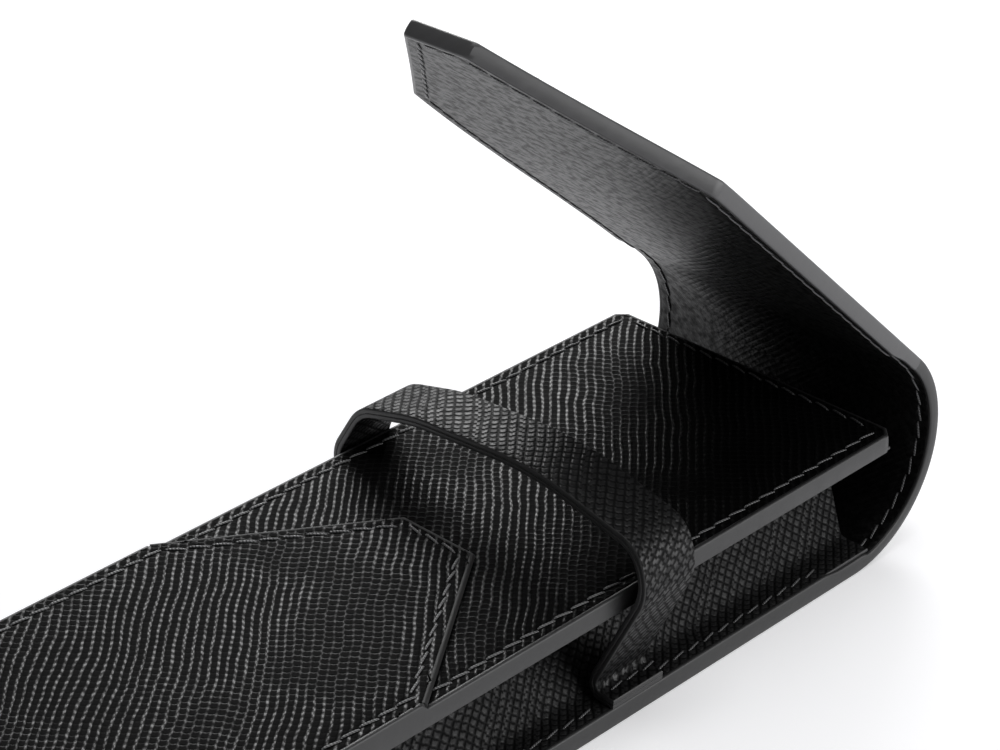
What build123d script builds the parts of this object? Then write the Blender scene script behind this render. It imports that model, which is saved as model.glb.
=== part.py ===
from build123d import *
import math
import os

# Single-pen leather case lying on its back with the flap standing open.
# Origin: on the flat resting face of the back, on the centre line, halfway along the body.
# +X is the right side, +Y runs towards the mouth, +Z is up. All sizes are millimetres.

# Driving dimensions
WIDTH = 50.0            # across the painted edges
BODY_LENGTH = 160.0     # from the closed bottom end to the mouth
BODY_HEIGHT = 20.0      # resting face to the top of the front panel
OUTER_LEATHER = 0.9     # long outer strip: back, spine, flap and front overlay
FACING_LEATHER = 0.9    # inner leather of back, spine and flap
BACK_BOARD = 0.5        # stiffening board in the back
FLAP_BOARD = 0.4        # stiffening board in the flap
GUSSET_LEATHER = 0.6    # folded side strips
FRONT_LEATHER = 1.0
FRONT_BOARD = 0.8
FRONT_LINING = 0.5
STRAP_LEAF = 0.7        # each of the two leathers of the strap
STRAP_WIDTH = 9.4

BEND_START = 73.0       # where the back turns up into the spine
BEND_RADIUS = 17.0      # outer radius of the spine
BEND_TURN = 136.0       # how far the spine has turned when the flap stands open
FLAP_STRAIGHT = 60.2    # from the end of the spine to the shoulders of the tongue
FLAP_TONGUE = (29.0, 5.3)     # from the shoulders to the tip, and half the tip's width
OVERLAY_TONGUE = (27.0, 6.4)  # the same for the overlay on the front
OVERLAY_SHOULDER = -9.3  # where the overlay on the front starts to taper

STITCH_PITCH = 3.0
STITCH_LENGTH = 2.2
STITCH_WIDTH = 0.55
STITCH_PROUD = 0.25
SEAM_INSET = 2.1        # side seams, from the painted edge
MOUTH_INSET = 1.6       # mouth seam, from the mouth edge

HALF = WIDTH / 2
MOUTH = BODY_LENGTH / 2
BOTTOM = -BODY_LENGTH / 2
CORNER = 5.0            # radius of the two bends round the bottom end
HINGE_COUNT = 3         # creases that the spine bends at
HINGE_STEP = BEND_TURN / HINGE_COUNT
HINGE_GAP = 0.1         # half the gap at a crease, at the outer face
HINGE_OPEN = 0.11       # growth of that half gap for each millimetre of depth
FRONT_HINGE_Z = 12.0    # where the bottom end flexes as the mouth opens
MOUTH_CHAMFER = 1.5
SPINE_THICKNESS = OUTER_LEATHER + FACING_LEATHER

BACK_BOARD_TOP = OUTER_LEATHER + BACK_BOARD
BACK_TOP = BACK_BOARD_TOP + FACING_LEATHER
GUSSET_FOOT_TOP = BACK_TOP + GUSSET_LEATHER
FRONT_BOARD_TOP = BODY_HEIGHT - FRONT_LEATHER
FRONT_LINING_TOP = FRONT_BOARD_TOP - FRONT_BOARD
FRONT_LINING_LOW = FRONT_LINING_TOP - FRONT_LINING
FRONT_LOW = FRONT_LINING_LOW - GUSSET_LEATHER
OVERLAY_TOP = BODY_HEIGHT + OUTER_LEATHER
BACK_BOARD_END = 66.0   # the board stops before the spine starts to bend
BACK_RAMP_END = 70.0    # and the facing steps down to the outer leather here


def save(piece, name):
    piece.part.label = name
    export_step(piece.part, f"parts/{name}.step")


def spine_point(turn, depth):
    """Point of the spine, (y, z), at a turn in degrees and a depth below the outer face."""
    radius = BEND_RADIUS - depth
    angle = math.radians(turn)
    return (BEND_START + radius * math.sin(angle), BEND_RADIUS - radius * math.cos(angle))


def crease(number, depth, side):
    """Turn of a crease's cut face, on its low (-1) or high (+1) side, at a depth."""
    half_gap = HINGE_GAP + HINGE_OPEN * depth
    middle = HINGE_STEP * (number + 0.5)
    return middle + side * math.degrees(half_gap / (BEND_RADIUS - depth))


def spine_arc(start, end, depth):
    """Arc of the spine at one depth."""
    middle = spine_point((start + end) / 2, depth)
    ThreePointArc(spine_point(start, depth), middle, spine_point(end, depth))


def corner_arc(centre, radius, start, end):
    """Arc about a point, (y, z), between two angles in degrees."""
    points = []
    for angle in (start, (start + end) / 2, end):
        turn = math.radians(angle)
        points.append((centre[0] + radius * math.cos(turn), centre[1] + radius * math.sin(turn)))
    ThreePointArc(*points)


def flap_point(distance, depth):
    """Point of the straight flap, (y, z), at a distance past the end of the spine."""
    angle = math.radians(BEND_TURN)
    y, z = spine_point(BEND_TURN, depth)
    return (y + distance * math.cos(angle), z + distance * math.sin(angle))


def flap_plane(depth):
    """Plane of the flap at a depth, centred on the shoulders, with its Y towards the tip."""
    angle = math.radians(BEND_TURN)
    y, z = flap_point(FLAP_STRAIGHT, depth)
    return Plane(origin=(0, y, z), x_dir=(1, 0, 0), z_dir=(0, -math.sin(angle), math.cos(angle)))


def tongue_corners(tongue):
    """Sketch of the two corners that are cut away beside a tapered tongue."""
    depth, half_tip = tongue
    beyond = depth + 10
    for side in (1, -1):
        Polygon(
            (side * HALF, 0),
            (side * half_tip, depth),
            (side * half_tip, beyond),
            (side * (HALF + 5), beyond),
            (side * (HALF + 5), 0),
            align=None,
        )


def spine_band(start, end, depth_low, depth_high):
    """Closed line round one layer of the spine between two creases."""
    outer = (crease(start, depth_low, 1), crease(end, depth_low, -1))
    inner = (crease(start, depth_high, 1), crease(end, depth_high, -1))
    with BuildLine() as band:
        spine_arc(outer[0], outer[1], depth_low)
        spine_arc(inner[0], inner[1], depth_high)
        for turn_low, turn_high in zip(outer, inner):
            Line(spine_point(turn_low, depth_low), spine_point(turn_high, depth_high))
    return band.line


def seam_row(length, inset=STITCH_PITCH / 2):
    """Stitch centres along a seam of a given length, evenly spaced about its middle."""
    count = int((length - 2 * inset) / STITCH_PITCH) + 1
    first = (length - (count - 1) * STITCH_PITCH) / 2
    return [first + number * STITCH_PITCH for number in range(count)]


def stitches_between(start, end):
    """Stitches in a sketch, along the straight line between two points."""
    run = (end[0] - start[0], end[1] - start[1])
    length = math.hypot(*run)
    angle = math.degrees(math.atan2(run[1], run[0]))
    for distance in seam_row(length):
        share = distance / length
        with Locations((start[0] + run[0] * share, start[1] + run[1] * share)):
            Rectangle(STITCH_LENGTH, STITCH_WIDTH, rotation=angle)


def tongue_seam(tongue, side_inset, slant_inset, tip_inset, below):
    """Stitches round a tongue: up both sides, along both slants and across the tip."""
    depth, half_tip = tongue
    slant = math.hypot(HALF - half_tip, depth)
    lean = (HALF - half_tip) / slant
    rise = depth / slant
    turn_x = HALF - side_inset
    turn_y = rise * (side_inset - slant_inset * rise) / lean - slant_inset * lean
    tip_y = depth - tip_inset
    tip_x = HALF - slant_inset * rise - lean * (tip_y + slant_inset * lean) / rise
    for side in (1, -1):
        stitches_between((side * turn_x, -below), (side * turn_x, turn_y))
        stitches_between((side * turn_x, turn_y), (side * tip_x, tip_y))
    stitches_between((-tip_x, tip_y), (tip_x, tip_y))


os.makedirs("parts", exist_ok=True)

# ---------------------------------------------------------------- back and bottom end
# Outer strip: flat back, up the bottom end as far as the front's crease, and a third of the
# way round the spine as far as the first spine crease.
LOW_CORNER = (BOTTOM + CORNER, CORNER)
WALL_INSIDE = BOTTOM + OUTER_LEATHER
with BuildPart() as outer_back:
    with BuildSketch(Plane.YZ):
        with BuildLine():
            Line((BOTTOM, FRONT_HINGE_Z - HINGE_GAP), (BOTTOM, CORNER))
            corner_arc(LOW_CORNER, CORNER, 180, 270)
            Line((BOTTOM + CORNER, 0), (BEND_START, 0))
            spine_arc(0, crease(0, 0, -1), 0)
            Line(spine_point(crease(0, 0, -1), 0),
                 spine_point(crease(0, OUTER_LEATHER, -1), OUTER_LEATHER))
            spine_arc(0, crease(0, OUTER_LEATHER, -1), OUTER_LEATHER)
            Line((BEND_START, OUTER_LEATHER), (BOTTOM + CORNER, OUTER_LEATHER))
            corner_arc(LOW_CORNER, CORNER - OUTER_LEATHER, 180, 270)
            Line((WALL_INSIDE, CORNER), (WALL_INSIDE, FRONT_HINGE_Z - HINGE_GAP))
            Line((WALL_INSIDE, FRONT_HINGE_Z - HINGE_GAP), (BOTTOM, FRONT_HINGE_Z - HINGE_GAP))
        make_face()
    extrude(amount=HALF, both=True)
save(outer_back, "outer_back")

# Board glued between the back's two leathers.
with BuildPart() as back_board:
    board_start = BOTTOM + CORNER
    with BuildSketch(Plane.XY.offset(OUTER_LEATHER)):
        with Locations((0, (board_start + BACK_BOARD_END) / 2)):
            Rectangle(WIDTH, BACK_BOARD_END - board_start)
    extrude(amount=BACK_BOARD)
save(back_board, "back_board")

# Inner leather of the back: over the board, then down a short ramp onto the outer strip.
with BuildPart() as back_facing:
    with BuildSketch(Plane.YZ):
        with BuildLine():
            Polyline(
                (BEND_START, OUTER_LEATHER),
                (BACK_RAMP_END, OUTER_LEATHER),
                (BACK_BOARD_END, BACK_BOARD_TOP),
                (board_start, BACK_BOARD_TOP),
                (board_start, BACK_TOP),
                (BACK_BOARD_END, BACK_TOP),
                (BACK_RAMP_END, SPINE_THICKNESS),
                (BEND_START, SPINE_THICKNESS),
            )
            spine_arc(0, crease(0, SPINE_THICKNESS, -1), SPINE_THICKNESS)
            Line(spine_point(crease(0, SPINE_THICKNESS, -1), SPINE_THICKNESS),
                 spine_point(crease(0, OUTER_LEATHER, -1), OUTER_LEATHER))
            spine_arc(0, crease(0, OUTER_LEATHER, -1), OUTER_LEATHER)
        make_face()
    extrude(amount=HALF, both=True)
save(back_facing, "back_facing")

# Lining of the bottom end, standing against the inside of the outer strip.
END_LINING = 0.6
END_LINING_INSET = 1.5
with BuildPart() as end_lining:
    with BuildSketch(Plane.YZ):
        with BuildLine():
            Polyline(
                (WALL_INSIDE, FRONT_HINGE_Z - HINGE_GAP),
                (WALL_INSIDE, CORNER),
                (WALL_INSIDE + END_LINING, CORNER),
                (WALL_INSIDE + END_LINING, FRONT_HINGE_Z - HINGE_GAP),
                close=True,
            )
        make_face()
    extrude(amount=HALF - END_LINING_INSET, both=True)
save(end_lining, "end_lining")

# ---------------------------------------------------------------- gussets
# Each side strip has a foot on the back, a fold pushed inwards and a flange under the front.
# The fold dies away towards the bottom end, where the strip stands flat.
GUSSET_MOUTH = MOUTH - 0.5
GUSSET_FOOT_END = 74.0  # the foot stops where the spine starts to rise
GUSSET_SLANT_TOP = 8.0
GUSSET_FADE = -52.0
GUSSET_END = WALL_INSIDE + END_LINING + 0.4
FOLD_X = 13.0
FLAT_X = 19.9
END_FOLD_X = 21.5
MIDDLE_Z = (BACK_TOP + FRONT_LINING_LOW) / 2


def gusset_section(side, y, fold_x, flat_x):
    """Closed outline of a side strip at one place along the body."""
    skin = GUSSET_LEATHER
    with BuildSketch(Plane(origin=(0, y, 0), x_dir=(1, 0, 0), z_dir=(0, -1, 0))) as section:
        with BuildLine():
            Polyline(
                (side * HALF, BACK_TOP),
                (side * flat_x, BACK_TOP),
                (side * (fold_x - skin), MIDDLE_Z),
                (side * flat_x, FRONT_LINING_LOW),
                (side * HALF, FRONT_LINING_LOW),
                (side * HALF, FRONT_LOW),
                (side * (flat_x + skin / 2), FRONT_LOW),
                (side * (fold_x + skin / 2), MIDDLE_Z),
                (side * (flat_x + skin / 2), GUSSET_FOOT_TOP),
                (side * HALF, GUSSET_FOOT_TOP),
                close=True,
            )
        make_face()
    return section


for side, name in ((1, "gusset_right"), (-1, "gusset_left")):
    sections = [
        gusset_section(side, GUSSET_MOUTH, FOLD_X, FLAT_X),
        gusset_section(side, GUSSET_FADE, FOLD_X, FLAT_X),
        gusset_section(side, GUSSET_END, END_FOLD_X, END_FOLD_X + 0.5),
    ]
    with BuildPart() as gusset:
        loft([section.sketch.face() for section in sections], ruled=True)
        with BuildSketch(Plane.YZ):
            Polygon(
                (GUSSET_FOOT_END, 0), (GUSSET_MOUTH, GUSSET_SLANT_TOP), (MOUTH + 5, GUSSET_SLANT_TOP),
                (MOUTH + 5, 0), align=None
            )
        extrude(amount=HALF + 1, both=True, mode=Mode.SUBTRACT)
    save(gusset, name)

# ---------------------------------------------------------------- front panel
# Board and leather glued face to face, lined inside; the mouth corners are clipped.


def front_layer(name, low, high):
    """One layer of the front panel, from the bottom end to the mouth."""
    start = BOTTOM + CORNER + OUTER_LEATHER
    with BuildPart() as layer:
        with BuildSketch(Plane.XY.offset(low)) as outline:
            with Locations((0, (start + MOUTH) / 2)):
                Rectangle(WIDTH, MOUTH - start)
            chamfer(outline.vertices().group_by(Axis.Y)[-1], MOUTH_CHAMFER)
        extrude(amount=high - low)
    save(layer, name)


front_layer("front_panel", FRONT_BOARD_TOP, BODY_HEIGHT)
front_layer("front_board", FRONT_LINING_TOP, FRONT_BOARD_TOP)
front_layer("front_lining", FRONT_LINING_LOW, FRONT_LINING_TOP)

# Front end of the outer strip: over the bottom end and onto the front, ending in a tongue.
OVERLAY_TIP = OVERLAY_SHOULDER + OVERLAY_TONGUE[0]
with BuildPart() as front_overlay:
    with BuildSketch(Plane.YZ):
        over = CORNER + OUTER_LEATHER
        top_corner = (BOTTOM + over, OVERLAY_TOP - over)
        with BuildLine():
            Line((BOTTOM, FRONT_HINGE_Z + HINGE_GAP), (BOTTOM, top_corner[1]))
            corner_arc(top_corner, over, 180, 90)
            Line((top_corner[0], OVERLAY_TOP), (OVERLAY_TIP, OVERLAY_TOP))
            Line((OVERLAY_TIP, OVERLAY_TOP), (OVERLAY_TIP, BODY_HEIGHT))
            Line((OVERLAY_TIP, BODY_HEIGHT), (top_corner[0], BODY_HEIGHT))
            corner_arc(top_corner, CORNER, 180, 90)
            Line((WALL_INSIDE, top_corner[1]), (WALL_INSIDE, FRONT_HINGE_Z + HINGE_GAP))
            Line((WALL_INSIDE, FRONT_HINGE_Z + HINGE_GAP), (BOTTOM, FRONT_HINGE_Z + HINGE_GAP))
        make_face()
    extrude(amount=HALF, both=True)
    overlay_plane = Plane(origin=(0, OVERLAY_SHOULDER, BODY_HEIGHT), x_dir=(1, 0, 0), z_dir=(0, 0, 1))
    with BuildSketch(overlay_plane):
        tongue_corners(OVERLAY_TONGUE)
    extrude(amount=3, both=True, mode=Mode.SUBTRACT)
save(front_overlay, "front_overlay")

# ---------------------------------------------------------------- spine and flap
# The spine is one bend of two leathers. It is divided at its creases into rigid lengths.
for number, place in ((0, "lower"), (1, "upper")):
    for layer, low, high in (("outer", 0, OUTER_LEATHER), ("facing", OUTER_LEATHER, SPINE_THICKNESS)):
        with BuildPart() as spine_piece:
            with BuildSketch(Plane.YZ):
                with BuildLine():
                    add(spine_band(number, number + 1, low, high))
                make_face()
            extrude(amount=HALF, both=True)
        save(spine_piece, f"spine_{layer}_{place}")

# The flap carries the last length of the spine, then runs straight to its tongue. Its board
# reaches the edges all round and stops short of the spine, where the facing steps down.
FLAP_RAMP_START = 3.0
FLAP_RAMP_END = 7.0
FLAP_FACE = SPINE_THICKNESS + FLAP_BOARD
LAST_CREASE = HINGE_COUNT - 1


def flap_side(depth, lift):
    """One face of a flap layer, from the last crease to the tip, lifted past the ramp."""
    length = FLAP_STRAIGHT + FLAP_TONGUE[0]
    spine_arc(crease(LAST_CREASE, depth, 1), BEND_TURN, depth)
    Polyline(
        spine_point(BEND_TURN, depth),
        flap_point(FLAP_RAMP_START, depth),
        flap_point(FLAP_RAMP_END, depth + lift),
        flap_point(length, depth + lift),
    )


def flap_band(low, low_lift, high, high_lift):
    """Closed line round one layer of the flap."""
    length = FLAP_STRAIGHT + FLAP_TONGUE[0]
    with BuildLine() as band:
        flap_side(low, low_lift)
        flap_side(high, high_lift)
        Line(*[spine_point(crease(LAST_CREASE, depth, 1), depth) for depth in (low, high)])
        Line(flap_point(length, low + low_lift), flap_point(length, high + high_lift))
    return band.line


for name, band in (
    ("flap_outer", flap_band(0, 0, OUTER_LEATHER, 0)),
    ("flap_facing", flap_band(OUTER_LEATHER, FLAP_BOARD, SPINE_THICKNESS, FLAP_BOARD)),
):
    with BuildPart() as flap_layer:
        with BuildSketch(Plane.YZ):
            with BuildLine():
                add(band)
            make_face()
        extrude(amount=HALF, both=True)
        with BuildSketch(flap_plane(0)):
            tongue_corners(FLAP_TONGUE)
        extrude(amount=4, both=True, mode=Mode.SUBTRACT)
    save(flap_layer, name)

with BuildPart() as flap_board:
    with BuildSketch(flap_plane(OUTER_LEATHER)):
        Polygon(
            (-HALF, FLAP_RAMP_END - FLAP_STRAIGHT),
            (HALF, FLAP_RAMP_END - FLAP_STRAIGHT),
            (HALF, 0),
            (FLAP_TONGUE[1], FLAP_TONGUE[0]),
            (-FLAP_TONGUE[1], FLAP_TONGUE[0]),
            (-HALF, 0),
            align=None,
        )
    extrude(amount=FLAP_BOARD)
save(flap_board, "flap_board")

# ---------------------------------------------------------------- strap
# A loop of two leathers over the front. Its ends lie on the gusset feet, sewn through the back.
# The loop leans a little towards the mouth.
STRAP_Y = 28.35
STRAP_LEAN = 5.0
STRAP_END_INNER = 20.2
STRAP_END_TOP = GUSSET_FOOT_TOP + 2 * STRAP_LEAF
STRAP_ROOT_GAP = 0.2
STRAP_ROOT_SLOPE = 14.0
STRAP_CORNERS = (
    ((21.0, 4.4), 0),
    ((29.2, 21.0), 7.0),
    ((26.6, 27.1), 5.5),
    ((8.0, 31.0), 50.0),
    ((-13.0, 29.6), 30.0),
    ((-23.4, 27.0), 6.0),
    ((-28.2, 18.6), 5.0),
    ((-21.0, 4.4), 0),
)

for side, name in ((1, "strap_end_right"), (-1, "strap_end_left")):
    with BuildPart() as strap_end:
        with BuildSketch(Plane.XY.offset(GUSSET_FOOT_TOP)):
            with Locations((side * (HALF + STRAP_END_INNER) / 2, STRAP_Y)):
                Rectangle(HALF - STRAP_END_INNER, STRAP_WIDTH)
        extrude(amount=STRAP_END_TOP - GUSSET_FOOT_TOP)
    save(strap_end, name)


def strap_leaf(name, depth_low, depth_high):
    """One leather of the strap's loop, cut to a blunt point above each sewn end."""
    lean = math.radians(STRAP_LEAN)
    loop_plane = Plane(
        origin=(0, STRAP_Y, 0), x_dir=(1, 0, 0), z_dir=(0, -math.cos(lean), math.sin(lean))
    )
    corners = [corner for corner, radius in STRAP_CORNERS]
    radii = [radius for corner, radius in STRAP_CORNERS[1:-1]]
    with BuildPart() as leaf:
        with BuildSketch(loop_plane):
            with BuildLine():
                edge = FilletPolyline(*corners, radius=radii, mode=Mode.PRIVATE)
                low = edge
                if depth_low:
                    low = offset(edge, amount=depth_low, side=Side.LEFT, closed=False, mode=Mode.PRIVATE)
                high = offset(edge, amount=depth_high, side=Side.LEFT, closed=False, mode=Mode.PRIVATE)
                add(low)
                add(high)
                ends = [sorted((line @ 0, line @ 1), key=lambda end: end.X) for line in (low, high)]
                Line(ends[0][0], ends[1][0])
                Line(ends[0][1], ends[1][1])
            make_face()
        extrude(amount=STRAP_WIDTH / 2, dir=(0, 1, 0), both=True)
        for side in (1, -1):
            rise = STRAP_WIDTH * math.tan(math.radians(STRAP_ROOT_SLOPE))
            foot = STRAP_END_TOP + STRAP_ROOT_GAP
            with BuildSketch(Plane.YZ):
                with BuildLine():
                    Polyline(
                        (STRAP_Y, foot),
                        (STRAP_Y + STRAP_WIDTH, foot + rise),
                        (STRAP_Y + STRAP_WIDTH, 0),
                        (STRAP_Y - STRAP_WIDTH, 0),
                        (STRAP_Y - STRAP_WIDTH, foot + rise),
                        close=True,
                    )
                make_face()
            extrude(amount=HALF + 5, both=True, mode=Mode.SUBTRACT)
    save(leaf, name)


strap_leaf("strap_outer", 0, STRAP_LEAF)
strap_leaf("strap_lining", STRAP_LEAF, 2 * STRAP_LEAF)

# ---------------------------------------------------------------- stitching
# Thread stands a little proud of the leather. Each seam is one group of separate stitches.
STITCH_OFF_STRAP = STRAP_WIDTH / 2 + 0.4
STITCH_LIFT = 0.05      # keeps a straight stitch clear of the hollow face of the spine
SEAM_X = HALF - SEAM_INSET

with BuildPart() as front_stitching:
    with BuildSketch(Plane.XY.offset(BODY_HEIGHT)):
        for side in (1, -1):
            stitches_between((side * SEAM_X, OVERLAY_SHOULDER + 4), (side * SEAM_X, MOUTH - 0.4))
        stitches_between((-SEAM_X + 1, MOUTH - MOUTH_INSET), (SEAM_X - 1, MOUTH - MOUTH_INSET))
    extrude(amount=STITCH_PROUD)
save(front_stitching, "front_stitching")

with BuildPart() as overlay_stitching:
    overlay_run = OVERLAY_SHOULDER - top_corner[0]
    with BuildSketch(overlay_plane.offset(OUTER_LEATHER)):
        tongue_seam(OVERLAY_TONGUE, SEAM_INSET, 2.0, 1.1, overlay_run)
    extrude(amount=STITCH_PROUD)
save(overlay_stitching, "overlay_stitching")

with BuildPart() as back_stitching:
    with BuildSketch(Plane.XY.offset(GUSSET_FOOT_TOP)):
        for side in (1, -1):
            x = side * SEAM_X
            stitches_between((x, BOTTOM + CORNER), (x, STRAP_Y - STITCH_OFF_STRAP))
            stitches_between((x, STRAP_Y + STITCH_OFF_STRAP), (x, GUSSET_FOOT_END))
    extrude(amount=STITCH_PROUD)
save(back_stitching, "back_stitching")

with BuildPart() as strap_end_stitching:
    with BuildSketch(Plane.XY.offset(STRAP_END_TOP)):
        for side in (1, -1):
            x = side * SEAM_X
            stitches_between((x, STRAP_Y - STRAP_WIDTH / 2), (x, STRAP_Y + STRAP_WIDTH / 2))
    extrude(amount=STITCH_PROUD)
save(strap_end_stitching, "strap_end_stitching")


def spine_stitches(name, first_turn, last_turn):
    """Stitches along both sides of one length of the spine, on its inner face."""
    depth = SPINE_THICKNESS + STITCH_LIFT
    inner_radius = BEND_RADIUS - depth
    length = math.radians(last_turn - first_turn) * inner_radius
    with BuildPart() as stitches:
        for distance in seam_row(length):
            turn = first_turn + math.degrees(distance / inner_radius)
            y, z = spine_point(turn, depth)
            angle = math.radians(turn)
            face = Plane(origin=(0, y, z), x_dir=(1, 0, 0), z_dir=(0, -math.sin(angle), math.cos(angle)))
            with BuildSketch(face):
                with GridLocations(2 * SEAM_X, 0, 2, 1):
                    Rectangle(STITCH_WIDTH, STITCH_LENGTH)
            extrude(amount=STITCH_PROUD)
    save(stitches, name)


spine_stitches("spine_stitching_lower", crease(0, 2, 1), crease(1, 2, -1))
spine_stitches("spine_stitching_upper", crease(1, 2, 1), crease(2, 2, -1))

with BuildPart() as flap_stitching:
    with BuildSketch(flap_plane(FLAP_FACE)):
        tongue_seam(FLAP_TONGUE, SEAM_INSET, 2.4, 1.6, FLAP_STRAIGHT - FLAP_RAMP_END)
    extrude(amount=STITCH_PROUD)
save(flap_stitching, "flap_stitching")
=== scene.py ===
import math
import random

import bmesh
import bpy
from mathutils import Matrix, Vector


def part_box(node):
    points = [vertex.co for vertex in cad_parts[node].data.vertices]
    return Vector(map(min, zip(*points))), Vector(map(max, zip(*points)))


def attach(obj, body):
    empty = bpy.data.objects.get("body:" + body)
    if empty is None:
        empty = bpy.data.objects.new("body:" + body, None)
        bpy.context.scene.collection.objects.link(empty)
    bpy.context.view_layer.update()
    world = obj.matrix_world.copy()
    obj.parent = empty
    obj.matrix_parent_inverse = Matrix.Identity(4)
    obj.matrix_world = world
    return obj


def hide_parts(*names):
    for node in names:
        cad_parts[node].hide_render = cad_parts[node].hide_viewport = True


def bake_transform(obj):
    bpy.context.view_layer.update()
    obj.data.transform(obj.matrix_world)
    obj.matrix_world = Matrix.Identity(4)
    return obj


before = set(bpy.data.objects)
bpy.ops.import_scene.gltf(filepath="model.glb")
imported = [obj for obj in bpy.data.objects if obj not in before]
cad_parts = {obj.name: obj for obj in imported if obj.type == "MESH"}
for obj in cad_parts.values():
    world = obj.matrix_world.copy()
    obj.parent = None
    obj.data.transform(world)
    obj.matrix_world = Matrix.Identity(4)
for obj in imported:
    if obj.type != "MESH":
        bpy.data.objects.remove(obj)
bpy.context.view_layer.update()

# ---------------------------------------------------------------- outer strip
# One long strip of black cross-grained leather makes the back, the spine and the flap, and it
# turns up round the bottom end onto the front, where it ends in a tongue. It is cut flat and
# then bent round the case, so its grain runs on unbroken.
MM = 0.001
back_low, back_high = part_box("outer_back")
overlay_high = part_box("front_overlay")[1]
HALF = back_high.x
CUT = 0.25 * MM
BOTTOM = back_low.y
LEATHER = 0.9 * MM
BOARD = 0.5 * MM
BEND_START = 73 * MM
BEND_RADIUS = 17 * MM
BEND_TURN = math.radians(136)
TONGUE_ON_FRONT = (27 * MM, 6.4 * MM)
TONGUE_OF_FLAP = (29 * MM, 5.3 * MM)
LOW_CORNER = 5 * MM
TOP_CORNER = LOW_CORNER + LEATHER
OVERLAY_TOP = overlay_high.z
SPINE_LENGTH = BEND_RADIUS * BEND_TURN
FLAP_SHOULDER = SPINE_LENGTH + 60.2 * MM
FLAP_END = FLAP_SHOULDER + TONGUE_OF_FLAP[0]
CREASES = 3

# Distances along the strip, counted from where the back starts to bend.
AT_LOW_CORNER = BOTTOM + LOW_CORNER - BEND_START
AT_WALL = AT_LOW_CORNER - LOW_CORNER * math.pi / 2
AT_WALL_TOP = AT_WALL - (OVERLAY_TOP - TOP_CORNER - LOW_CORNER)
AT_TOP = AT_WALL_TOP - TOP_CORNER * math.pi / 2
AT_TONGUE_TIP = AT_TOP - (overlay_high.y - BOTTOM - TOP_CORNER)
AT_SHOULDER = AT_TONGUE_TIP + TONGUE_ON_FRONT[0]
AT_SPLIT = AT_WALL - 3 * MM


def smooth(value, low, high):
    """0 below low, 1 above high and an even curve between."""
    share = min(max((value - low) / (high - low), 0), 1)
    return share * share * (3 - 2 * share)


# The open flap has curled inwards a little, first its left side and then its tip.
CURL = 2.2 * MM


def place_on_strip(flat):
    """Where a point of the flat strip lies once it is bent: x across, y along, z inwards."""
    x, along, depth = flat
    if along > SPINE_LENGTH:
        past = along - SPINE_LENGTH
        left = (HALF - x) / (2 * HALF)
        depth += CURL * left * smooth(past, 0, 60 * MM)
        depth += CURL * 0.7 * (1 - left) * smooth(past, 55 * MM, 95 * MM)
        y = BEND_START + (BEND_RADIUS - depth) * math.sin(BEND_TURN) + past * math.cos(BEND_TURN)
        z = BEND_RADIUS - (BEND_RADIUS - depth) * math.cos(BEND_TURN) + past * math.sin(BEND_TURN)
    elif along > 0:
        turn = along / BEND_RADIUS
        y = BEND_START + (BEND_RADIUS - depth) * math.sin(turn)
        z = BEND_RADIUS - (BEND_RADIUS - depth) * math.cos(turn)
    elif along > AT_LOW_CORNER:
        y, z = BEND_START + along, depth
    elif along > AT_WALL:
        turn = (AT_LOW_CORNER - along) / LOW_CORNER
        y = BOTTOM + LOW_CORNER - (LOW_CORNER - depth) * math.sin(turn)
        z = LOW_CORNER - (LOW_CORNER - depth) * math.cos(turn)
    elif along > AT_WALL_TOP:
        y, z = BOTTOM + depth, LOW_CORNER + AT_WALL - along
    elif along > AT_TOP:
        turn = (AT_WALL_TOP - along) / TOP_CORNER
        y = BOTTOM + TOP_CORNER - (TOP_CORNER - depth) * math.cos(turn)
        z = OVERLAY_TOP - TOP_CORNER + (TOP_CORNER - depth) * math.sin(turn)
    else:
        y, z = BOTTOM + TOP_CORNER + AT_TOP - along, OVERLAY_TOP - depth
    return Vector((x, y, z))


def slant_of(tongue):
    """The direction that a tongue's right slant faces."""
    length, half_tip = tongue
    return Vector((length, HALF - half_tip)).normalized()


def tongue_corners(tongue, inset, tip_inset):
    """Corners of a tongue as (x, rise past the shoulder), first the shoulder's, then the tip's."""
    slant = slant_of(tongue)
    shoulder = (HALF - inset, inset * (slant.x - 1) / slant.y)
    tip_rise = tongue[0] - tip_inset
    return shoulder, ((slant.x * HALF - inset - slant.y * tip_rise) / slant.x, tip_rise)


def tongue_distance(tongue, x, short_of_tip):
    """How far inside a tongue-ended outline a point lies, from its nearest edge."""
    slant = slant_of(tongue)
    off_slant = slant.x * (HALF - abs(x)) - slant.y * (tongue[0] - short_of_tip)
    return min(HALF - abs(x), short_of_tip + SEAM - TIP_SEAM, off_slant)


SEAM = 2.1 * MM
TIP_SEAM = 1.4 * MM
GROOVE = 0.12 * MM
GROOVE_HALF = 0.75 * MM


def groove(distance, seam=SEAM):
    """How deep a row of stitches has pulled the leather in, by the distance from the edge."""
    return GROOVE * (1 - smooth(abs(distance - seam), 0, GROOVE_HALF))


def slice_flat(bm, point, normal):
    """Cuts a flat piece's faces along a line, without parting them."""
    bmesh.ops.bisect_plane(bm, geom=bm.verts[:] + bm.edges[:] + bm.faces[:], dist=1e-7,
                           plane_co=Vector(point), plane_no=Vector(normal))


def slice_rows(bm, low, high, step, axis):
    """Cuts a flat piece across at even steps, so that it can bend."""
    count = max(1, round((high - low) / step))
    for number in range(1, count):
        where = low + (high - low) * number / count
        slice_flat(bm, Vector(axis) * where, axis)


def slice_seams(bm):
    """Cuts a flat piece along both flanks of its two side seams, so that they can sink in."""
    for offset in (SEAM - GROOVE_HALF, SEAM, SEAM + GROOVE_HALF):
        for side in (1, -1):
            slice_flat(bm, (side * (HALF - offset), 0, 0), (1, 0, 0))


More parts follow.
